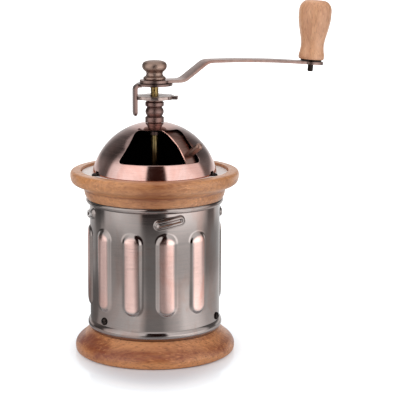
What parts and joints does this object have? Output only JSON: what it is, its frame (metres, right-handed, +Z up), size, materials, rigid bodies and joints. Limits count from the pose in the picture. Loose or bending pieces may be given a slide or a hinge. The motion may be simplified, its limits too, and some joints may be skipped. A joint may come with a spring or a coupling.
{
  "type": "manual coffee grinder",
  "caption": "Hand cranked coffee grinder: fluted copper canister on a turned wooden base, wooden ring, domed hopper with a sliding window shutter, conical burrs and a crank with a wooden grip.",
  "frame": {"origin": "on the turning axis, at the table that the wooden base stands on", "axes": "+Z up along the turning axis; the hopper window faces -Y, turned a few degrees towards +X, and the crank points to +X, turned 18 degrees towards +Y at rest"},
  "size_m": [0.1843, 0.1172, 0.2432],
  "materials": {
    "base_wood": "satin varnish over turned reddish brown hardwood with open pores",
    "ring_wood": "satin varnish over turned light brown hardwood",
    "grip_wood": "satin varnish over turned pale hardwood",
    "body_copper": "copper plated sheet, antiqued dark and brushed back on the high spots",
    "dome_copper": "copper plated spun sheet, satin and lightly antiqued",
    "shutter_copper": "copper plated sheet, satin",
    "peg_copper": "copper plated, antiqued",
    "stem_copper": "copper plated turned steel, antiqued dark in the grooves",
    "disc_copper": "copper plated stamped steel, mostly worn to grey",
    "clip_copper": "copper plated stamped steel, antiqued dark",
    "crank_copper": "copper plated flat bar, antiqued dark on the broad faces",
    "cap_copper": "copper plated turned steel, antiqued dark in the grooves",
    "plate_steel": "bright satin sheet with a faint copper tint",
    "tray_steel": "bright sheet",
    "collar_steel": "bright sheet",
    "funnel_steel": "dark antiqued sheet",
    "bridge_steel": "zinc plated",
    "spring_steel": "drawn wire",
    "nut_steel": "zinc plated",
    "burr_iron": "bare hardened casting",
    "shaft_brass": "brass coloured threaded rod",
    "black_steel": "blackened steel"
  },
  "bodies": {
    "canister": {"wood_base": "base_wood", "canister_floor": "tray_steel", "canister_wall": "body_copper"},
    "head": {"wood_ring": "ring_wood", "locking_collar": "collar_steel", "top_plate": "plate_steel", "dome": "dome_copper", "stem_bush": "stem_copper", "stem_nut": "nut_steel", "hopper_funnel": "funnel_steel", "fixed_burr": "burr_iron", "bearing_bridge": "bridge_steel"},
    "crank": {"shaft": "shaft_brass", "cone_burr": "burr_iron", "burr_spring": "spring_steel", "lower_nut": "nut_steel", "adjusting_disc": "disc_copper", "lock_clip": "clip_copper", "crank_arm": "crank_copper", "cap_nut": "cap_copper", "grip_washer": "black_steel", "grip_pin": "black_steel"},
    "grip": {"grip": "grip_wood"},
    "shutter": {"shutter": "shutter_copper", "shutter_peg": "peg_copper"}
  },
  "joints": [
    {"name": "head_lift", "type": "slide", "parent": "canister", "child": "head", "axis": [0, 0, 1], "range_m": [0, 0.06]},
    {"name": "crank_turn", "type": "hinge", "parent": "head", "child": "crank", "pos_m": [0, 0, 0.17], "axis": [0, 0, 1], "continuous": true},
    {"name": "grip_spin", "type": "hinge", "parent": "crank", "child": "grip", "pos_m": [0.11127, 0.03615, 0.19862], "axis": [0.0752, 0.0244, 0.9969], "continuous": true},
    {"name": "shutter_swing", "type": "hinge", "parent": "head", "child": "shutter", "pos_m": [0, 0, 0.15], "axis": [0, 0, 1], "range_deg": [-74, 1]}
  ]
}
